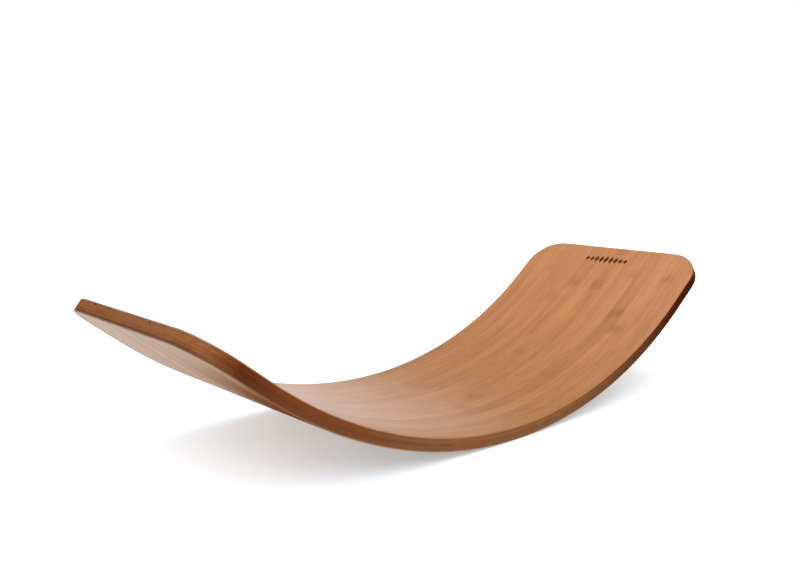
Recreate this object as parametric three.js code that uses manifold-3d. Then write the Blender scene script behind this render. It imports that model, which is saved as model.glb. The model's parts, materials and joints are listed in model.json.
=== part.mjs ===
// A curved balance board of laminated bamboo: a bent panel that rocks on its convex underside.
// Millimetres, +Z up. X runs along the board, Y across it, and the origin lies under its middle, on the
// floor. The panel is five glued plies. The two face plies are edge-glued bamboo strips that run the
// length of the board; the three core plies lie between them, and the middle one has its grain crosswise.

import * as THREE from 'three';
import { mergeVertices } from 'three/addons/utils/BufferGeometryUtils.js';
import Module from 'manifold-3d';

const wasm = await Module();
wasm.setup();

// Driving dimensions. The board is a circular bend that ends in two straight lengths, one at each end,
// and the bend radius is that of the hollow top surface.
const BOARD_WIDTH = 296;
const BOARD_THICKNESS = 16.5;
const BEND_RADIUS = 555;
const HALF_BEND_ANGLE = THREE.MathUtils.degToRad(37.75);
const END_LENGTH = 84;
const CORNER_RADIUS = 48;
const EDGE_ROUNDING = 2;
const PLY_COUNT = 5;
const STRIP_COUNT = 14;
const GLUE_LINE = 0.2;

// Facets that stand for the curves. Each facet of the bend touches the true arc at its middle. An even
// number of turns between them leaves one level facet at the lowest place, which the board rests on.
const BEND_TURNS = 24;
const CORNER_FACETS = 10;
const ROUNDING_FACETS = 2;

// The end cutters stand this far off the flat faces, so that they only cut corners and edges.
const CUT_CLEARANCE = 0.02;

const PLY_THICKNESS = (BOARD_THICKNESS - (PLY_COUNT - 1) * GLUE_LINE) / PLY_COUNT;
const STRIP_PITCH = BOARD_WIDTH / STRIP_COUNT;
const TURN_ANGLE = (2 * HALF_BEND_ANGLE) / BEND_TURNS;
const TURN_RADIUS = BEND_RADIUS / Math.cos(TURN_ANGLE / 2);
const BEND_CENTRE_Z = (TURN_RADIUS + BOARD_THICKNESS) * Math.cos(TURN_ANGLE / 2);

// The top surface's line seen from the side, held as the corners of its facets.
class BendPath extends THREE.Curve {
  constructor() {
    super();
    this.points = [];
    this.tangents = [];
    this.addPoint(-HALF_BEND_ANGLE, BEND_RADIUS, -END_LENGTH);
    for (let turn = 0; turn < BEND_TURNS; turn++) {
      this.addPoint((turn + 0.5) * TURN_ANGLE - HALF_BEND_ANGLE, TURN_RADIUS, 0);
    }
    this.addPoint(HALF_BEND_ANGLE, BEND_RADIUS, END_LENGTH);
  }

  // A point at an angle round the bend, moved on in a straight line by a length.
  addPoint(angle, radius, length) {
    const tangent = new THREE.Vector3(Math.cos(angle), 0, Math.sin(angle));
    const point = new THREE.Vector3(radius * Math.sin(angle), 0, BEND_CENTRE_Z - radius * Math.cos(angle));
    this.tangents.push(tangent);
    this.points.push(point.addScaledVector(tangent, length));
  }

  get steps() {
    return this.points.length - 1;
  }

  getPointAt(u, target = new THREE.Vector3()) {
    return target.copy(this.points[Math.round(u * this.steps)]);
  }

  getTangentAt(u, target = new THREE.Vector3()) {
    return target.copy(this.tangents[Math.round(u * this.steps)]);
  }
}

const bendPath = new BendPath();

// A section swept along the board. Its points are [y, n], with n the height over the top surface, so
// every point of the material has n below 0. The sweep lays a shape's x along -Y and its y along -n.
function sweepAlongBoard(section) {
  const shape = new THREE.Shape(section.map(([y, n]) => new THREE.Vector2(-y, -n)));
  return new THREE.ExtrudeGeometry(shape, { steps: bendPath.steps, extrudePath: bendPath });
}

function solidOf(geometry) {
  geometry.deleteAttribute('normal');
  geometry.deleteAttribute('uv');
  const merged = mergeVertices(geometry, 1e-4);
  return new wasm.Manifold(new wasm.Mesh({
    numProp: 3,
    vertProperties: merged.attributes.position.array,
    triVerts: new Uint32Array(merged.index.array),
  }));
}

function geometryOf(solid) {
  const { numProp, vertProperties, triVerts } = solid.getMesh();
  const positions = new Float32Array(triVerts.length * 3);
  triVerts.forEach((vertex, i) => {
    for (let axis = 0; axis < 3; axis++) {
      positions[3 * i + axis] = vertProperties[numProp * vertex + axis];
    }
  });
  const geometry = new THREE.BufferGeometry();
  geometry.setAttribute('position', new THREE.BufferAttribute(positions, 3));
  geometry.computeVertexNormals();
  return geometry;
}

// The panel's outline at one end, seen square on: x runs outwards from where the corners begin.
function endOutline(innerLength) {
  const halfWidth = BOARD_WIDTH / 2;
  const centreY = halfWidth - CORNER_RADIUS;
  const outline = new THREE.Shape();
  outline.moveTo(-innerLength, -halfWidth);
  outline.lineTo(0, -halfWidth);
  outline.absarc(0, -centreY, CORNER_RADIUS, -Math.PI / 2, 0);
  outline.absarc(0, centreY, CORNER_RADIUS, 0, Math.PI / 2);
  outline.lineTo(-innerLength, halfWidth);
  return outline;
}

// What is cut away at one end: a block round the last stretch of the board, less the finished end
// with its two round corners and its rounded edges. side is 1 at +X and -1 at -X.
function endCutter(side) {
  const margin = 10;
  const finishedEnd = new THREE.ExtrudeGeometry(endOutline(2 * margin), {
    depth: BOARD_THICKNESS - 2 * EDGE_ROUNDING + 2 * CUT_CLEARANCE,
    curveSegments: CORNER_FACETS / 2, // an arc in a shape is cut into twice this many
    bevelThickness: EDGE_ROUNDING,
    bevelSize: EDGE_ROUNDING,
    bevelOffset: CUT_CLEARANCE - EDGE_ROUNDING,
    bevelSegments: ROUNDING_FACETS,
  });
  finishedEnd.translate(0, 0, EDGE_ROUNDING - BOARD_THICKNESS - CUT_CLEARANCE);

  const blockLength = CORNER_RADIUS + margin;
  const block = new THREE.BoxGeometry(blockLength, BOARD_WIDTH + 2 * margin, BOARD_THICKNESS + 2 * margin);
  block.translate(blockLength / 2, 0, -BOARD_THICKNESS / 2);

  const cornerStart = bendPath.getPointAt(1).addScaledVector(bendPath.getTangentAt(1), -CORNER_RADIUS);
  const [placedEnd, placedBlock] = [finishedEnd, block].map((geometry) => {
    geometry.rotateY(-HALF_BEND_ANGLE);
    geometry.translate(cornerStart.x, cornerStart.y, cornerStart.z);
    if (side < 0) {
      geometry.rotateZ(Math.PI);
    }
    return solidOf(geometry);
  });
  return placedBlock.subtract(placedEnd);
}

const endCutters = [endCutter(-1), endCutter(1)];

// One swept piece between two heights and two edges, cut to the board's round corners at both ends.
function boardPiece(name, section, material) {
  let solid = solidOf(sweepAlongBoard(section));
  for (const cutter of endCutters) {
    solid = solid.subtract(cutter);
  }
  const mesh = new THREE.Mesh(geometryOf(solid), material);
  mesh.name = name;
  return mesh;
}

// Ply 0 is the top face and ply 4 the bottom face. Returns its lower and upper height.
function plyHeights(ply) {
  const top = -ply * (PLY_THICKNESS + GLUE_LINE);
  return { low: top - PLY_THICKNESS, high: top };
}

// The points that round off the upper outer edge of a section, from its side up to its top.
// side is 1 on the +Y edge and -1 on the -Y edge, and face is 1 on the top face and -1 on the bottom face.
function roundedEdge(edgeY, edgeN, side, face) {
  const points = [];
  for (let i = 0; i <= ROUNDING_FACETS; i++) {
    const angle = (i / ROUNDING_FACETS) * (Math.PI / 2);
    points.push([
      edgeY - side * EDGE_ROUNDING * (1 - Math.cos(angle)),
      edgeN - face * EDGE_ROUNDING * (1 - Math.sin(angle)),
    ]);
  }
  return points;
}

// A face strip's section. The first and last strip carry the board's rounded long edge.
function stripSection(index, ply, face) {
  const { low, high } = plyHeights(ply);
  const outerN = face > 0 ? high : low;
  const innerN = face > 0 ? low : high;
  const boardEdge = BOARD_WIDTH / 2;
  const farY = boardEdge - index * STRIP_PITCH;
  const nearY = farY - STRIP_PITCH;
  const isFirst = index === 0;
  const isLast = index === STRIP_COUNT - 1;
  const farSide = isFirst ? farY : farY - GLUE_LINE / 2;
  const nearSide = isLast ? nearY : nearY + GLUE_LINE / 2;
  const farCorner = isFirst ? roundedEdge(farSide, outerN, 1, face) : [[farSide, outerN]];
  const nearCorner = isLast ? roundedEdge(nearSide, outerN, -1, face).reverse() : [[nearSide, outerN]];
  return [[farSide, innerN], ...farCorner, ...nearCorner, [nearSide, innerN]];
}

// Each strip's shade, so that neighbours differ a little as real bamboo does.
function bambooMaterial(index) {
  const shades = [0xc58c60, 0xbf8559, 0xc99267, 0xbb8053];
  return new THREE.MeshStandardMaterial({
    color: shades[(index * 5) % shades.length],
    roughness: 0.45,
    metalness: 0,
  });
}

function faceStrips(prefix, ply, face) {
  const group = new THREE.Group();
  for (let i = 0; i < STRIP_COUNT; i++) {
    const number = String(i + 1).padStart(2, '0');
    group.add(boardPiece(`${prefix}_${number}`, stripSection(i, ply, face), bambooMaterial(i)));
  }
  return group;
}

// A core ply is glued up over the board's whole width.
function corePly(name, ply, color) {
  const { low, high } = plyHeights(ply);
  const halfWidth = BOARD_WIDTH / 2;
  const section = [[halfWidth, low], [halfWidth, high], [-halfWidth, high], [-halfWidth, low]];
  return boardPiece(name, section, new THREE.MeshStandardMaterial({ color, roughness: 0.6, metalness: 0 }));
}

const board = new THREE.Group();
board.add(faceStrips('top_face_strip', 0, 1));
board.add(corePly('upper_core_ply', 1, 0x8a5a3a));
board.add(corePly('centre_cross_ply', 2, 0x5c3520));
board.add(corePly('lower_core_ply', 3, 0x8a5a3a));
board.add(faceStrips('bottom_face_strip', 4, -1));

export default board;
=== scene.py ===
"""A curved balance board of laminated bamboo, in metres, +Z up.

The board is one bent panel: two face plies of bamboo strips and three core plies. Each piece is made flat,
in the panel's own places (s along it, y across it, n up from its top face), and is then bent. Every vertex
keeps its flat place, so that the grain follows the bend.
"""

import json
import math

import bmesh
import bpy
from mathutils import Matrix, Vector


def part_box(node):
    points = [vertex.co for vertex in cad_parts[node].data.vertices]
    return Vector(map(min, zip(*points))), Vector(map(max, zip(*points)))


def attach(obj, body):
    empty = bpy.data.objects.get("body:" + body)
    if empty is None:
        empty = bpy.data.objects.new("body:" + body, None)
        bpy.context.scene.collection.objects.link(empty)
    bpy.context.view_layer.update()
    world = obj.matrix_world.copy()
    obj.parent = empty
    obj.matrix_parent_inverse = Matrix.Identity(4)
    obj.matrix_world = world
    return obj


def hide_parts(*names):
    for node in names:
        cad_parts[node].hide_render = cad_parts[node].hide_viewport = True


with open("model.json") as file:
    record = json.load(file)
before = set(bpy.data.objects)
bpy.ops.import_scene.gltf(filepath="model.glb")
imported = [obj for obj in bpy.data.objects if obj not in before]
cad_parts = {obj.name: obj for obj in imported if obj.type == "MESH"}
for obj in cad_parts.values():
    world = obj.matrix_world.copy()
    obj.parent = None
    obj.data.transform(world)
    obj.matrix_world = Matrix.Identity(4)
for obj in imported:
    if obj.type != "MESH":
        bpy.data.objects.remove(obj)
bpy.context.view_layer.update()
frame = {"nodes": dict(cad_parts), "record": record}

# The bend and the outline, as in the CAD part.
BEND_RADIUS = 0.555
HALF_BEND_ANGLE = math.radians(37.75)
END_LENGTH = 0.084
CORNER_RADIUS = 0.048
EDGE_ROUNDING = 0.002
GLUE_LINE = 0.0002

# The hairline between neighbouring pieces, in place of the CAD part's wider glue line.
HAIRLINE = 0.00002

# How finely the round stretches are cut.
BEND_STEPS = 76
CORNER_STEPS = 20
ROUNDING_STEPS = 6

# How far inside a rounded edge the ring lies that keeps the face beside it flat.
SUPPORT_INSET = 0.0004

# An edge whose two faces turn by more than this is drawn sharp.
SHARP_ANGLE = math.radians(30)

# How far past the end of the bend a place still counts as on it.
ARC_TOLERANCE = 0.0001

MM = 0.001


def mount_height(name):
    mounts = {mount["name"]: mount for mount in frame["record"]["mounts"]}
    return mounts[name]["pos_m"][2]


def ply_bottom(node):
    """How far a ply's underside lies under the top face, from the lowest place of the bend."""
    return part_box(node)[0].z - THICKNESS


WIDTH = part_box("centre_cross_ply")[1].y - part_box("centre_cross_ply")[0].y
THICKNESS = mount_height("standing_face")
HALF_ARC = BEND_RADIUS * HALF_BEND_ANGLE
HALF_LENGTH = HALF_ARC + END_LENGTH
CORNER_START = HALF_LENGTH - CORNER_RADIUS
CENTRE_Z = BEND_RADIUS + THICKNESS
STRIP_COUNT = sum(name.startswith("top_face_strip") for name in frame["nodes"])
STRIP_PITCH = WIDTH / STRIP_COUNT

# Where one ply meets the next, from the top of the panel down.
UPPER_PLIES = ("top_face_strip_07", "upper_core_ply", "centre_cross_ply", "lower_core_ply")
PLY_LEVELS = [0.0] + [ply_bottom(node) - GLUE_LINE / 2 for node in UPPER_PLIES] + [-THICKNESS]


# ---------------------------------------------------------------- shape


def bend(s, y, n):
    """Where a place of the flat panel goes when it is bent."""
    on_arc = max(-HALF_ARC, min(HALF_ARC, s))
    past_arc = s - on_arc
    angle = on_arc / BEND_RADIUS
    radius = BEND_RADIUS - n
    x = radius * math.sin(angle) + past_arc * math.cos(angle)
    z = CENTRE_Z - radius * math.cos(angle) + past_arc * math.sin(angle)
    return x, y, z


def half_outline(inset):
    """Places (s, half width) on the panel's outline, drawn in by inset, from the left end to the right."""
    radius = CORNER_RADIUS - inset
    corner = []
    for i in range(CORNER_STEPS + 1):
        angle = math.pi / 2 * i / CORNER_STEPS
        along = CORNER_START + radius * math.cos(angle)
        corner.append((along, WIDTH / 2 - CORNER_RADIUS + radius * math.sin(angle)))
    arc = [HALF_ARC * (2 * i / BEND_STEPS - 1) for i in range(BEND_STEPS + 1)]
    left = [(-s, half) for s, half in corner]
    middle = [(s, WIDTH / 2 - inset) for s in arc]
    return left + middle + corner[::-1]


def face_rings(outer, inner, face):
    """Rings (inset, n) of a face ply, from its outer face over the rounded edge to the ply next to it. face
    is 1 for the top ply and -1 for the bottom ply."""
    rings = [(EDGE_ROUNDING + SUPPORT_INSET, outer)]
    for i in range(ROUNDING_STEPS + 1):
        angle = math.pi / 2 * i / ROUNDING_STEPS
        inset = EDGE_ROUNDING * (1 - math.sin(angle))
        rings.append((inset, outer - face * EDGE_ROUNDING * (1 - math.cos(angle))))
    rings.append((0.0, inner))
    return rings


def panel(rings):
    """A closed flat panel, from its upper ring to its lower one, each ring a pair (inset, n)."""
    bm = bmesh.new()
    levels = []
    for inset, n in rings:
        outline = half_outline(inset)
        near = [bm.verts.new((s, -half, n)) for s, half in outline]
        far = [bm.verts.new((s, half, n)) for s, half in outline]
        levels.append((near, far))
    for (near, far), (near_below, far_below) in zip(levels, levels[1:]):
        for i in range(len(near) - 1):
            bm.faces.new((near[i], near_below[i], near_below[i + 1], near[i + 1]))
            bm.faces.new((far[i], far[i + 1], far_below[i + 1], far_below[i]))
        bm.faces.new((near[0], far[0], far_below[0], near_below[0]))
        bm.faces.new((near[-1], near_below[-1], far_below[-1], far[-1]))
    for near, far in (levels[0], levels[-1]):
        for i in range(len(near) - 1):
            bm.faces.new((near[i], near[i + 1], far[i + 1], far[i]))
    bmesh.ops.recalc_face_normals(bm, faces=bm.faces)
    return bm


def cut_side(bm, y, side):
    """Cuts away what lies beyond y, on the +Y side if side is 1 and on the -Y side if it is -1."""
    bmesh.ops.bisect_plane(
        bm,
        geom=bm.verts[:] + bm.edges[:] + bm.faces[:],
        plane_co=(0, y, 0),
        plane_no=(0, side, 0),
        clear_outer=True,
    )
    rim = [edge for edge in bm.edges if edge.is_boundary]
    cap = bmesh.ops.contextual_create(bm, geom=rim)["faces"][0]

    # The cap is one long face. It is split at every station of the bend, so that it can be bent too.
    pairs = {}
    for vert in cap.verts:
        if abs(vert.co.x) <= HALF_ARC + ARC_TOLERANCE:
            pairs.setdefault(round(vert.co.x, 6), []).append(vert)
    for station in sorted(pairs):
        if len(pairs[station]) == 2:
            upper, lower = pairs[station]
            shared = [face for face in upper.link_faces if face in lower.link_faces]
            bmesh.utils.face_split(shared[0], upper, lower)


def finish_piece(bm, name, node, facts, material):
    """Bends a flat piece, keeps its flat places for the grain, and puts it in the place of its CAD node."""
    bmesh.ops.recalc_face_normals(bm, faces=bm.faces)
    flat_places = [vert.co.copy() for vert in bm.verts]
    for vert in bm.verts:
        vert.co = bend(*vert.co)
    mesh = bpy.data.meshes.new(name)
    bm.to_mesh(mesh)
    bm.free()
    place = mesh.attributes.new("flat_place", "FLOAT_VECTOR", "POINT")
    place.data.foreach_set("vector", [number for flat in flat_places for number in flat])
    strip = mesh.attributes.new("strip_facts", "FLOAT_COLOR", "POINT")
    strip.data.foreach_set("color", facts * len(flat_places))
    mesh.shade_smooth()
    mesh.set_sharp_from_angle(angle=SHARP_ANGLE)
    mesh.materials.append(material)
    piece = bpy.data.objects.new(name, mesh)
    bpy.context.scene.collection.objects.link(piece)
    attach(piece, "root")
    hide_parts(node)


# ---------------------------------------------------------------- the wood's pattern


class Graph:
    """Adds shader nodes and links them. A value is a number, a tuple or another node's output."""

    def __init__(self, tree):
        self.tree = tree

    def node(self, kind, inputs=(), **settings):
        made = self.tree.nodes.new(kind)
        for name, value in settings.items():
            setattr(made, name, value)
        for key, value in dict(inputs).items():
            self.feed(made.inputs[key], value)
        return made

    def feed(self, socket, value):
        if isinstance(value, bpy.types.NodeSocket):
            self.tree.links.new(value, socket)
        else:
            socket.default_value = value

    def math(self, operation, *values):
        return self.node("ShaderNodeMath", enumerate(values), operation=operation).outputs[0]

    def times(self, *values):
        product = values[0]
        for value in values[1:]:
            product = self.math("MULTIPLY", product, value)
        return product

    def rest_of(self, share):
        return self.math("SUBTRACT", 1.0, share)

    def distance(self, value, place):
        return self.math("ABSOLUTE", self.math("SUBTRACT", value, place))

    def combine(self, x, y, z):
        return self.node("ShaderNodeCombineXYZ", {"X": x, "Y": y, "Z": z}).outputs[0]

    def noise(self, vector, detail=2.0, roughness=0.5):
        inputs = {"Vector": vector, "Scale": 1.0, "Detail": detail, "Roughness": roughness}
        return self.node("ShaderNodeTexNoise", inputs).outputs["Fac"]

    def chance(self, dimensions, **inputs):
        """A number from 0 to 1 that is the same all over where its inputs are."""
        made = self.node("ShaderNodeTexWhiteNoise", inputs, noise_dimensions=dimensions)
        return made.outputs["Value"]

    def fade(self, value, start, end, low=0.0, high=1.0):
        """Goes smoothly from low to high as value goes from start to end."""
        inputs = {"Value": value, "From Min": start, "From Max": end, "To Min": low, "To Max": high}
        return self.node("ShaderNodeMapRange", inputs, interpolation_type="SMOOTHSTEP").outputs[0]

    def mix(self, amount, colour, other, blend_type="MIX"):
        """A colour mix, whose sockets for the amount and the two colours are 0, 6 and 7."""
        inputs = {0: amount, 6: colour, 7: other}
        return self.node("ShaderNodeMix", inputs, data_type="RGBA", blend_type=blend_type).outputs[2]

    def cover(self, amount, colour, paint):
        return self.mix(amount, colour, (*paint, 1.0))

    def tint(self, amount, colour, tint):
        return self.mix(amount, colour, (*tint, 1.0), "MULTIPLY")

    def attribute(self, name):
        return self.node("ShaderNodeAttribute", attribute_name=name).outputs

    def parts_of(self, name):
        """The three numbers of a mesh attribute."""
        return self.node("ShaderNodeSeparateXYZ", {"Vector": self.attribute(name)["Vector"]}).outputs[:]


# The wood's pattern is worked out in millimetres, and these are the panel's measures in them.
PANEL_WIDTH = WIDTH / MM
PANEL_THICKNESS = THICKNESS / MM
PANEL_END = HALF_LENGTH / MM
ROUND_CORNERS_START = CORNER_START / MM
STRIP_WIDTH = STRIP_PITCH / MM
GLUE_DEPTHS = [level / MM for level in PLY_LEVELS[1:-1]]

# How far the noise moves along the grain for each step of a strip's place and of a piece's number, so that
# no two strips show the same grain.
STRIP_SHIFT = 613.0
PIECE_SHIFT = 89.0

# How much the shades of a core ply's strips differ either way.
CORE_TONE_RANGE = 0.07

# A tuple for Graph.fade holds the two places that something fades between, and then its strengths there
# if they aren't 0 and 1.

# The sawn edge's stain and the faces' varnish, by the distance from the middle of the panel's thickness.
EDGE_STAIN = (7.6, 6.2)
FACE_VARNISH = (6.2, 6.9)


class Wood:
    """Where a point of the wood lies, in millimetres: in the flat board (s along it, y across it, depth up
    from the top face), and in its own strip (along and across the grain)."""

    def __init__(self, g, crosswise, loose):
        self.g = g
        self.crosswise = crosswise
        self.s, self.y, self.depth = [g.math("DIVIDE", part, MM) for part in g.parts_of("flat_place")]
        self.along, self.across = (self.y, self.s) if crosswise else (self.s, self.y)
        self.tone, self.node_place, self.node_spacing = g.parts_of("strip_facts")

        strips = g.math("DIVIDE", g.math("ADD", self.across, PANEL_WIDTH / 2), STRIP_WIDTH)
        self.number = g.math("FLOOR", strips)
        off_middle = g.distance(g.math("FRACT", strips), 0.5)
        self.seam_distance = g.times(g.math("SUBTRACT", 0.5, off_middle), STRIP_WIDTH)
        if loose:
            self.give_strips_their_own_shades()

        piece = g.times(g.attribute("strip_facts")["Alpha"], PIECE_SHIFT)
        self.run = g.math("ADD", self.along, g.math("MULTIPLY_ADD", self.number, STRIP_SHIFT, piece))
        self.from_middle = g.distance(self.depth, -PANEL_THICKNESS / 2)
        self.from_centre = g.math("ABSOLUTE", self.s)
        self.on_edge = g.fade(self.from_middle, *EDGE_STAIN)
        self.off_edge = g.fade(self.from_middle, *FACE_VARNISH)

    def give_strips_their_own_shades(self):
        """A core ply is one piece, so its strips get their shades and their nodes' places by number."""
        g = self.g
        chance = g.chance("1D", W=self.number)
        self.tone = g.math("ADD", self.tone, g.fade(chance, 0.0, 1.0, -CORE_TONE_RANGE, CORE_TONE_RANGE))
        self.node_place = g.math("ADD", self.node_place, g.times(chance, self.node_spacing))

    def stretched(self, length, breadth):
        """A noise place whose lumps are about length long along the grain and breadth wide."""
        g = self.g
        across, depth = [g.math("DIVIDE", value, breadth) for value in (self.across, self.depth)]
        return g.combine(g.math("DIVIDE", self.run, length), across, depth)

    def grain(self, length, breadth, detail=2.0, roughness=0.55):
        return self.g.noise(self.stretched(length, breadth), detail, roughness)


# The grain's noises: their length along the grain, their breadth, their detail and, for the fibres, their
# roughness.
STREAKS = (240.0, 3.2, 3.0)
WIDE_STREAKS = (300.0, 11.0, 2.0)
CLOUDS = (110.0, 24.0, 2.0)
FLECKS = (14.0, 6.0, 3.0)
NODE_BREAKS = (22.0, 5.0, 3.0)
DULL_PATCHES = (70.0, 38.0, 3.0)
FIBRES = (60.0, 0.55, 3.0, 0.6)

# The fibre bundles: their length and breadth, how their darkness fades out from their middles, and how
# strong the streaks have to be for them to show.
BUNDLES = (55.0, 0.85)
BUNDLE_DARKNESS = (0.42, 0.12)
BUNDLE_PATCHES = (0.35, 0.65)

# The wood's shade where nothing changes it, and how much each noise does.
BASE_SHADE = 0.42
STREAK_SHADES = ((STREAKS, 0.5), (WIDE_STREAKS, 0.3), (CLOUDS, 0.5), (FLECKS, 0.32))
FIBRE_SHADE = 0.36
BUNDLE_SHADE = 0.15

# The culm's nodes: how far their line wanders, how wide each turn of it is across the strip, and how far
# apart two strips' own places have to be for their lines to differ.
NODE_WANDER = 7.0
NODE_WANDER_BREADTH = 9.0
NODE_WANDER_CHANGE = 7.0

# The line of a node and the smudge round it, by the distance from the node: where they fade, and how much
# they darken the wood. The smudge is broken up by a noise. The last number is the most that a node away
# from its strip's own place may show.
NODE_LINE, NODE_LINE_SHADE = (1.4, 0.1), 0.09
NODE_SMUDGE, NODE_SMUDGE_SHADE = (17.0, 0.0), 0.3
NODE_BROKEN = (0.3, 0.7, 0.3, 1.0)
OTHER_NODES = 0.6

# The seams and glue lines, by the distance from their middles, and how much their colour covers.
GLUE_EDGE = (0.22, 0.04)
GLUE_COVER = 0.45
GLUE_COLOUR = (0.11, 0.045, 0.018)


def glue_lines(g, wood):
    """1 on the seams between strips and on the glue lines between plies."""
    nearest = wood.seam_distance
    for depth in GLUE_DEPTHS:
        nearest = g.math("MINIMUM", nearest, g.distance(wood.depth, depth))
    return g.fade(nearest, *GLUE_EDGE)


def fibre_bundles(g, wood):
    """1 on the fibre bundles, which are short dark lines in patches."""
    cells = g.node("ShaderNodeTexVoronoi", {"Vector": wood.stretched(*BUNDLES), "Scale": 1.0})
    darkness = g.fade(cells.outputs["Distance"], *BUNDLE_DARKNESS)
    return g.times(darkness, g.fade(wood.grain(*STREAKS), *BUNDLE_PATCHES))


def node_shade(g, wood):
    """The culm's nodes: a thin wavy line across a strip, and the wide smudge round it. The one at a strip's
    own place shows most, and the others more or less by chance."""
    steps = g.math("DIVIDE", g.math("SUBTRACT", wood.along, wood.node_place), wood.node_spacing)
    index = g.math("ROUND", steps)
    off_node = g.times(g.math("SUBTRACT", steps, index), wood.node_spacing)
    wander_place = g.combine(
        g.math("DIVIDE", wood.node_place, NODE_WANDER_CHANGE),
        g.math("DIVIDE", wood.across, NODE_WANDER_BREADTH),
        wood.depth,
    )
    wander = g.times(g.math("SUBTRACT", g.noise(wander_place), 0.5), NODE_WANDER)
    distance = g.math("ABSOLUTE", g.math("ADD", off_node, wander))

    chance = g.chance("3D", Vector=g.combine(wood.number, index, wood.node_spacing))
    own = g.rest_of(g.math("ABSOLUTE", index))
    strength = g.math("MAXIMUM", own, g.times(chance, OTHER_NODES))
    broken = g.fade(wood.grain(*NODE_BREAKS), *NODE_BROKEN)
    smudge = g.times(g.fade(distance, *NODE_SMUDGE), broken, NODE_SMUDGE_SHADE)
    line = g.times(g.fade(distance, *NODE_LINE), NODE_LINE_SHADE)
    return g.times(g.math("ADD", smudge, line), strength)


def wood_shade(g, wood, fibres, bundles):
    """How dark the wood is, from 0 to 1."""
    shade = g.math("SUBTRACT", BASE_SHADE, wood.tone)
    noises = [(wood.grain(*noise), weight) for noise, weight in STREAK_SHADES]
    for noise, weight in noises + [(fibres, FIBRE_SHADE)]:
        shade = g.math("MULTIPLY_ADD", g.math("SUBTRACT", noise, 0.5), weight, shade)
    shade = g.math("MULTIPLY_ADD", bundles, BUNDLE_SHADE, shade)
    return g.math("ADD", shade, node_shade(g, wood))


# ---------------------------------------------------------------- stains, marks and wear

# A sawn edge that shows end grain: the ends of the lengthwise plies, and the sides of the crosswise one.
END_GRAIN_TINT = (0.86, 0.84, 0.80)

# The long sides' painted shade, in place of the dimmer light they get towards each end, starts this far
# from the middle of the board, and is darkest near each end: the place and its tint, for the left end and
# for the right one.
SIDE_SHADE_START = 60.0
SIDE_PAINTED_SHADES = ((-340.0, (0.60, 0.43, 0.32)), (400.0, (0.26, 0.10, 0.015)))

# The stain at the left corners, and how it fades in and out again along the board.
CORNER_STAIN_IN = (-335.0, -395.0)
CORNER_STAIN_OUT = (-437.0, -410.0)
CORNER_STAIN_TINT = (0.75, 0.65, 0.60)

# The painted shade line on the lower rim, where the rounded edge turns down into shadow: its upper and
# lower side, by the height over the underside, and where it begins, by the distance from the middle of the
# board.
RIM_UPPER_SIDE = (2.4, 1.2)
RIM_LOWER_SIDE = (0.0, 0.3)
RIM_STRETCH = (200.0, 360.0)
RIM_SHADE_TINT = (0.42, 0.34, 0.28)

# The pits: the distance from one to the next, their size, how far under the top face they lie, their soft
# outline, how far they reach in from the end, and how much their colour covers.
PIT_SPACING = 62.0
PIT_LENGTH, PIT_HEIGHT = 3.0, 1.2
PIT_DEPTH = 2.8
PIT_OUTLINE = (1.2, 0.5)
PIT_REACH, PIT_WHOLE = 2.0, 0.5
PIT_COVER = 0.7
PIT_COLOUR = (0.03, 0.015, 0.01)

# The burnt row of lozenges: its place, its length, how sharply it stops, how many lozenges it has, their
# half heights at its ends and in its middle, how narrow they are, and their soft outline.
ROW_Y, ROW_FROM_END = 5.0, 28.5
ROW_LENGTH, ROW_STOP = 78.0, 0.2
LOZENGE_COUNT = 9
LOZENGE_HALF_HEIGHTS = (4.5, 9.0)
LOZENGE_NARROWNESS = 2.2
LOZENGE_OUTLINE = (1.12, 0.88)
BURNT_COLOUR = (0.07, 0.029, 0.014)

# The underside's painted shade: how near the underside a place has to be, how the painted shade fades along
# the board and across it, and where the darker ends begin.
UNDERSIDE_REACH = 0.4
UNDERSIDE_SHADE_STRETCH = (450.0, 330.0)
UNDERSIDE_SHADE_ACROSS = (10.0, -135.0, 0.1, 1.0)
UNDERSIDE_SHADE_TINT = (0.36, 0.24, 0.15)
UNDER_END_STRETCH = (380.0, 450.0)
UNDER_END_TINT = (0.82, 0.88, 0.92)


def stain_and_shade_edges(g, wood, colour, edge_tint, end_tint):
    """The panel's sawn edges, stained all round, with painted shade that darkens the long sides towards
    both ends.
    """
    colour = g.tint(wood.on_edge, colour, edge_tint)
    at_end = g.fade(wood.from_centre, ROUND_CORNERS_START, PANEL_END)
    on_side = g.rest_of(at_end)
    end_grain = on_side if wood.crosswise else at_end
    colour = g.tint(g.times(wood.on_edge, end_grain), colour, END_GRAIN_TINT)
    colour = g.tint(g.times(wood.on_edge, at_end), colour, end_tint)
    # Painted shade: the long sides darken towards each end, in place of the dimmer light there.
    for darkest, tint in SIDE_PAINTED_SHADES:
        side_shade = g.fade(wood.s, math.copysign(SIDE_SHADE_START, darkest), darkest)
        colour = g.tint(g.times(wood.on_edge, on_side, side_shade), colour, tint)
    at_corner = g.times(g.fade(wood.s, *CORNER_STAIN_IN), g.fade(wood.s, *CORNER_STAIN_OUT))
    return g.tint(g.times(wood.on_edge, at_corner), colour, CORNER_STAIN_TINT)


def shade_lower_rim(g, wood, colour):
    """A painted shade line along the lower rim of both ends, where the rounded edge turns down into shadow.
    """
    over_underside = g.math("ADD", wood.depth, PANEL_THICKNESS)
    on_shaded_rim = g.times(g.fade(over_underside, *RIM_UPPER_SIDE), g.fade(over_underside, *RIM_LOWER_SIDE))
    return g.tint(g.times(on_shaded_rim, g.fade(wood.from_centre, *RIM_STRETCH)), colour, RIM_SHADE_TINT)


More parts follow.
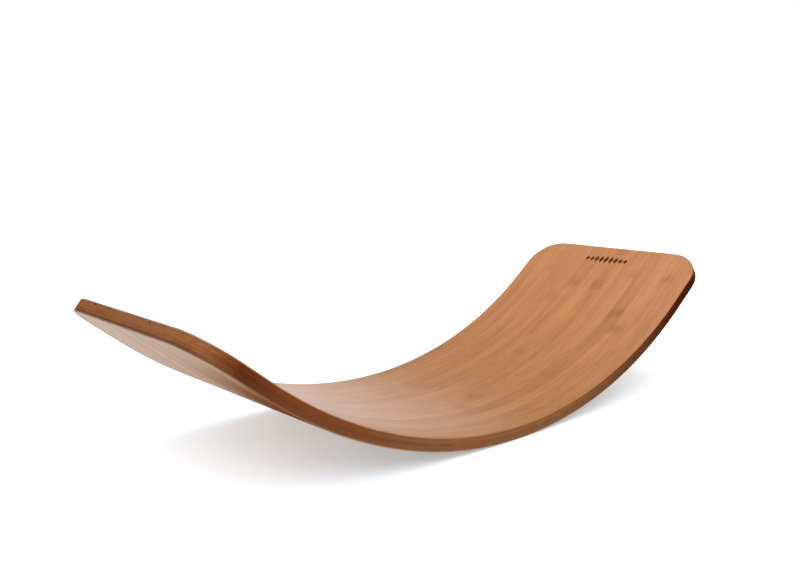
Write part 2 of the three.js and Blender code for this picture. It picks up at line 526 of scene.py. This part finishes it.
def end_pits(g, wood):
    """A few small dark pits in a row along both ends of the top ply."""
    row = g.math("DIVIDE", wood.y, PIT_SPACING)
    cells = g.node("ShaderNodeTexVoronoi", {"W": row, "Scale": 1.0}, voronoi_dimensions="1D")
    sideways = g.times(cells.outputs["Distance"], PIT_SPACING / PIT_LENGTH)
    upwards = g.math("DIVIDE", g.math("ADD", wood.depth, PIT_DEPTH), PIT_HEIGHT)
    squares = g.math("ADD", g.math("POWER", sideways, 2.0), g.math("POWER", upwards, 2.0))
    on_end = g.fade(wood.from_centre, PANEL_END - PIT_REACH, PANEL_END - PIT_WHOLE)
    return g.times(g.fade(g.math("SQRT", squares), *PIT_OUTLINE), on_end)


def lozenge_row(g, wood):
    """1 on a row of lozenges across the right end, which grow towards the middle of the row."""
    half_row = ROW_LENGTH / 2
    off_row = g.math("SUBTRACT", wood.s, PANEL_END - ROW_FROM_END)
    off_middle = g.distance(wood.y, ROW_Y)
    cells = g.math("DIVIDE", g.math("SUBTRACT", wood.y, ROW_Y - half_row), ROW_LENGTH / LOZENGE_COUNT)
    off_cell = g.distance(g.math("FRACT", cells), 0.5)
    half_height = g.fade(off_middle, half_row, 0.0, *LOZENGE_HALF_HEIGHTS)
    off_centre = g.math("ABSOLUTE", g.math("DIVIDE", off_row, half_height))
    lozenge = g.math("MULTIPLY_ADD", off_cell, LOZENGE_NARROWNESS, off_centre)
    return g.times(g.fade(lozenge, *LOZENGE_OUTLINE), g.fade(off_middle, half_row, half_row - ROW_STOP))


def burn_mark(g, wood, colour, varnish):
    """A plain ornament burnt into the top face, with no varnish on it."""
    burnt = lozenge_row(g, wood)
    return g.cover(burnt, colour, BURNT_COLOUR), g.times(varnish, g.rest_of(burnt))


def shade_underside(g, wood, colour, varnish):
    """The underside, darkened with painted shade where the board rocks, most of all along its -Y edge,
    which faces the shadowed floor, and with less varnish there. Its ends are a little dark too."""
    underside = g.fade(wood.from_middle, PANEL_THICKNESS / 2 - UNDERSIDE_REACH, PANEL_THICKNESS / 2)
    along_shade = g.fade(wood.from_centre, *UNDERSIDE_SHADE_STRETCH)
    painted_shade = g.times(along_shade, g.fade(wood.y, *UNDERSIDE_SHADE_ACROSS), underside)
    # Painted shade of the shadowed floor that the underside faces, strongest near its -Y edge; the varnish
    # is thinned there too.
    colour = g.tint(painted_shade, colour, UNDERSIDE_SHADE_TINT)
    near_end = g.fade(wood.from_centre, *UNDER_END_STRETCH)
    colour = g.tint(g.times(near_end, underside), colour, UNDER_END_TINT)
    return colour, g.times(varnish, g.rest_of(painted_shade))


# ---------------------------------------------------------------- materials

COAT_ROUGHNESS = 0.27

# The wood's own roughness, and the most that the dull patches, the fibres and a sawn edge add to it.
WOOD_ROUGHNESS = 0.4
PATCH_ROUGHNESS, FIBRE_ROUGHNESS, EDGE_ROUGHNESS = 0.16, 0.1, 0.3

# The relief of the bundles and the glue lines against that of the fibres, and its strength and height.
BUNDLE_RELIEF, GLUE_RELIEF = -0.5, -0.6
BUMP_STRENGTH, BUMP_HEIGHT = 0.35, 0.00006


def bamboo(name, light, dark, edge_tint, end_tint, coat=0.0, crosswise=False, loose=False, finish=None):
    """Bamboo, solid all through, from its light and dark colours, the tints of its sawn edges and of its
    ends, and the strength of its varnish. crosswise turns the grain across the board, and loose gives the
    strips of a core ply their own shades. finish works over the colour and the varnish last."""
    material = bpy.data.materials.new(name)
    material.use_nodes = True
    g = Graph(material.node_tree)
    shader = material.node_tree.nodes["Principled BSDF"]
    wood = Wood(g, crosswise, loose)
    fibres = wood.grain(*FIBRES)
    bundles = fibre_bundles(g, wood)
    glue = glue_lines(g, wood)

    shade = g.fade(wood_shade(g, wood, fibres, bundles), 0.0, 1.0)
    colour = g.mix(shade, (*light, 1.0), (*dark, 1.0))
    colour = g.cover(g.times(glue, GLUE_COVER), colour, GLUE_COLOUR)
    colour = stain_and_shade_edges(g, wood, colour, edge_tint, end_tint)
    colour = shade_lower_rim(g, wood, colour)
    colour = g.cover(g.times(end_pits(g, wood), PIT_COVER), colour, PIT_COLOUR)
    varnish = g.times(wood.off_edge, coat)
    if finish:
        colour, varnish = finish(g, wood, colour, varnish)

    roughness = g.math("MULTIPLY_ADD", wood.grain(*DULL_PATCHES), PATCH_ROUGHNESS, WOOD_ROUGHNESS)
    roughness = g.math("MULTIPLY_ADD", fibres, FIBRE_ROUGHNESS, roughness)
    roughness = g.math("MULTIPLY_ADD", wood.on_edge, EDGE_ROUGHNESS, roughness)
    relief = g.math("MULTIPLY_ADD", bundles, BUNDLE_RELIEF, fibres)
    relief = g.math("MULTIPLY_ADD", glue, GLUE_RELIEF, relief)
    bump = g.node("ShaderNodeBump", {"Height": relief, "Strength": BUMP_STRENGTH, "Distance": BUMP_HEIGHT})
    g.feed(shader.inputs["Base Color"], colour)
    g.feed(shader.inputs["Roughness"], roughness)
    g.feed(shader.inputs["Normal"], bump.outputs["Normal"])
    g.feed(shader.inputs["Coat Weight"], varnish)
    shader.inputs["Coat Roughness"].default_value = COAT_ROUGHNESS

    # All the gloss is the varnish coat's, so that the sawn edges stay matt.
    shader.inputs["Specular IOR Level"].default_value = 0.0
    return material


# The core plies' sawn edges keep nearly their own colour.
CORE_EDGE_TINT = (1.02, 1.0, 1.06)

top_bamboo = bamboo(
    "top_bamboo",
    light=(0.450, 0.209, 0.088),
    dark=(0.254, 0.0995, 0.0355),
    edge_tint=(0.80, 0.73, 0.67),
    end_tint=(0.63, 0.76, 1.05),
    coat=0.62,
    finish=burn_mark,
)
bottom_bamboo = bamboo(
    "bottom_bamboo",
    light=(0.360, 0.184, 0.078),
    dark=(0.207, 0.091, 0.033),
    edge_tint=(1.0, 0.82, 0.72),
    # Its end tint is darker than the other plies': painted shade where the bottom of each end face turns
    # down into shadow.
    end_tint=(0.42, 0.365, 0.345),
    coat=0.42,
    finish=shade_underside,
)
core_bamboo = bamboo(
    "core_bamboo",
    light=(0.375, 0.156, 0.062),
    dark=(0.215, 0.079, 0.025),
    edge_tint=CORE_EDGE_TINT,
    end_tint=(0.67, 0.68, 0.68),
    loose=True,
)
lower_bamboo = bamboo(
    "lower_bamboo",
    light=(0.310, 0.145, 0.066),
    dark=(0.178, 0.073, 0.027),
    edge_tint=CORE_EDGE_TINT,
    end_tint=(0.70, 0.66, 0.60),
    loose=True,
)
cross_bamboo = bamboo(
    "cross_bamboo",
    light=(0.275, 0.116, 0.047),
    dark=(0.152, 0.057, 0.018),
    edge_tint=CORE_EDGE_TINT,
    end_tint=(0.86, 0.81, 0.74),
    crosswise=True,
    loose=True,
)


# ---------------------------------------------------------------- pieces

# A strip's shade against its neighbours, and where its nodes lie: the place of one and the distance
# between them, in millimetres. The first strip is the one at the far long edge.
TOP_STRIPS = [
    (-0.02, -180.0, 330.0),
    (0.04, -250.0, 290.0),
    (0.08, -235.0, 310.0),
    (0.00, -310.0, 340.0),
    (0.05, -270.0, 300.0),
    (-0.01, 367.0, 320.0),
    (0.06, -160.0, 350.0),
    (0.00, 367.0, 280.0),
    (0.05, 45.0, 280.0),
    (0.08, 5.0, 390.0),
    (-0.09, 315.0, 300.0),
    (0.08, 282.0, 330.0),
    (0.00, 397.0, 340.0),
    (-0.03, -205.0, 310.0),
]

# The bottom ply has the same strips in another order.
BOTTOM_STRIPS = TOP_STRIPS[5:] + TOP_STRIPS[:5]

# The same three facts for the core plies. Each piece has a number besides, which moves its grain along: a
# strip's index, or this many times the index of its ply.
CORE_FACTS = (0.0, 40.0, 300.0)
CORE_PLY_NUMBER = 20


def add_face_ply(prefix, outer, inner, face, strips, material):
    rings = face_rings(outer, inner, face)
    for i, (tone, node_place, node_spacing) in enumerate(strips):
        bm = panel(rings if face > 0 else rings[::-1])
        if i > 0:
            cut_side(bm, WIDTH / 2 - i * STRIP_PITCH - HAIRLINE / 2, 1)
        if i < STRIP_COUNT - 1:
            cut_side(bm, WIDTH / 2 - (i + 1) * STRIP_PITCH + HAIRLINE / 2, -1)
        name = f"{prefix}_{i + 1:02d}"
        facts = (tone, node_place, node_spacing, float(i))
        finish_piece(bm, name + "_bamboo", name, facts, material)


def add_core_ply(name, ply, material):
    upper = PLY_LEVELS[ply] - HAIRLINE / 2
    lower = PLY_LEVELS[ply + 1] + HAIRLINE / 2
    bm = panel([(0.0, upper), (0.0, lower)])
    finish_piece(bm, name + "_bamboo", name, (*CORE_FACTS, float(CORE_PLY_NUMBER * ply)), material)


top_inner = PLY_LEVELS[1] + HAIRLINE / 2
bottom_inner = PLY_LEVELS[4] - HAIRLINE / 2
add_face_ply("top_face_strip", PLY_LEVELS[0], top_inner, 1, TOP_STRIPS, top_bamboo)
add_core_ply("upper_core_ply", 1, core_bamboo)
add_core_ply("centre_cross_ply", 2, cross_bamboo)
add_core_ply("lower_core_ply", 3, lower_bamboo)
add_face_ply("bottom_face_strip", PLY_LEVELS[5], bottom_inner, -1, BOTTOM_STRIPS, bottom_bamboo)


# ---------------------------------------------------------------- stage, light and camera

# The floor glows a little, and more the further a place is from the board's middle, in metres.
FLOOR_HALF_SIZE = 2.5
FLOOR_COLOUR = (0.77, 0.88, 0.99)
FLOOR_ROUGHNESS = 0.9
FLOOR_GLOW = (0.10, 0.80, 0.36, 0.8)

# The world's colour, how strong it is to look at, and how strong its light is by the height over the
# horizon, which is the Z of a direction.
WORLD_COLOUR = (1.0, 0.977, 0.93)
SEEN_STRENGTH = 1.1
LIGHT_BY_HEIGHT = (0.0, 0.45, 1.4, 0.9)

# The world's two dim places: the direction of each, and how strong the light or the shade there is by the
# cosine of the angle to it. The second starts over a height, as over the edge of a backdrop.
NEAR_RIGHT = (0.62, -0.74, -0.25)
NEAR_RIGHT_LIGHT = (-0.3, 0.8, 1.22, 0.1)
OVER_BACKDROP = (0.47, 0.60, 0.64)
OVER_BACKDROP_SHADE = (0.6, 0.85, 0.0, 0.8)
BACKDROP_EDGE = (0.21, 0.46)


def add_floor():
    bm = bmesh.new()
    bmesh.ops.create_grid(bm, x_segments=1, y_segments=1, size=FLOOR_HALF_SIZE)
    mesh = bpy.data.meshes.new("floor")
    bm.to_mesh(mesh)
    bm.free()
    material = bpy.data.materials.new("white_floor")
    material.use_nodes = True
    g = Graph(material.node_tree)
    shader = material.node_tree.nodes["Principled BSDF"]
    place = g.node("ShaderNodeTexCoord").outputs["Object"]
    distance = g.node("ShaderNodeVectorMath", {0: place}, operation="LENGTH").outputs["Value"]
    g.feed(shader.inputs["Emission Strength"], g.fade(distance, *FLOOR_GLOW))
    shader.inputs["Emission Color"].default_value = (1.0, 1.0, 1.0, 1.0)
    shader.inputs["Base Color"].default_value = (*FLOOR_COLOUR, 1.0)
    shader.inputs["Roughness"].default_value = FLOOR_ROUGHNESS
    shader.inputs["Specular IOR Level"].default_value = 0.0
    mesh.materials.append(material)
    floor = bpy.data.objects.new("floor", mesh)
    bpy.context.scene.collection.objects.link(floor)


def add_world():
    """Nearly white to look at. Its light is stronger low down than high up, and dim at the near right and
    high up behind the board."""
    world = bpy.data.worlds.new("studio")
    world.use_nodes = True
    bpy.context.scene.world = world
    g = Graph(world.node_tree)
    direction = g.node("ShaderNodeTexCoord").outputs["Generated"]
    height = g.node("ShaderNodeSeparateXYZ", {"Vector": direction}).outputs["Z"]

    def nearness(aim):
        """The cosine of the angle between a direction and the aim."""
        product = g.node("ShaderNodeVectorMath", {0: direction, 1: aim}, operation="DOT_PRODUCT")
        return product.outputs["Value"]

    near_right = g.fade(nearness(NEAR_RIGHT), *NEAR_RIGHT_LIGHT)
    over_backdrop = g.times(
        g.fade(nearness(OVER_BACKDROP), *OVER_BACKDROP_SHADE), g.fade(height, *BACKDROP_EDGE)
    )
    light = g.times(near_right, g.rest_of(over_backdrop), g.fade(height, *LIGHT_BY_HEIGHT))

    # A mix of numbers has its sockets for the amount and the two numbers at 0, 2 and 3.
    seen = g.node("ShaderNodeLightPath").outputs["Is Camera Ray"]
    strength = g.node("ShaderNodeMix", {0: seen, 2: light, 3: SEEN_STRENGTH}, data_type="FLOAT").outputs[0]
    background = world.node_tree.nodes["Background"]
    g.feed(background.inputs["Strength"], strength)
    background.inputs["Color"].default_value = (*WORLD_COLOUR, 1.0)


def add_softbox(name, place, target, size, power):
    light = bpy.data.lights.new(name, "AREA")
    light.shape = "RECTANGLE"
    light.size, light.size_y = size
    light.energy = power
    lamp = bpy.data.objects.new(name, light)
    lamp.location = place
    aim = Vector(target) - Vector(place)
    lamp.rotation_euler = aim.to_track_quat("-Z", "Y").to_euler()
    bpy.context.scene.collection.objects.link(lamp)


def add_camera(place, turned_right, tipped_down, lens):
    """A camera that looks along +Y before it is turned, with its angles in degrees and its lens in mm."""
    data = bpy.data.cameras.new("camera")
    data.sensor_width = 36.0
    data.lens = lens
    camera = bpy.data.objects.new("camera", data)
    camera.location = place
    camera.rotation_euler = (math.radians(90 - tipped_down), 0.0, math.radians(-turned_right))
    bpy.context.scene.collection.objects.link(camera)
    bpy.context.scene.camera = camera


add_floor()
add_world()
middle = (0.0, 0.0, 0.0)
add_softbox("overhead_softbox", place=(0.0, 0.0, 2.2), target=middle, size=(2.0, 2.0), power=20.0)
add_softbox("right_softbox", place=(1.6, 0.2, 0.5), target=(0.3, 0.0, 0.0), size=(0.8, 0.6), power=3.0)
add_softbox("key_softbox", place=(-0.9, -1.2, 1.3), target=middle, size=(1.0, 1.0), power=16.0)
add_camera(place=(-0.7585, -0.7914, 0.3398), turned_right=41.69, tipped_down=9.44, lens=39.17)
bpy.context.scene.view_settings.view_transform = "Standard"
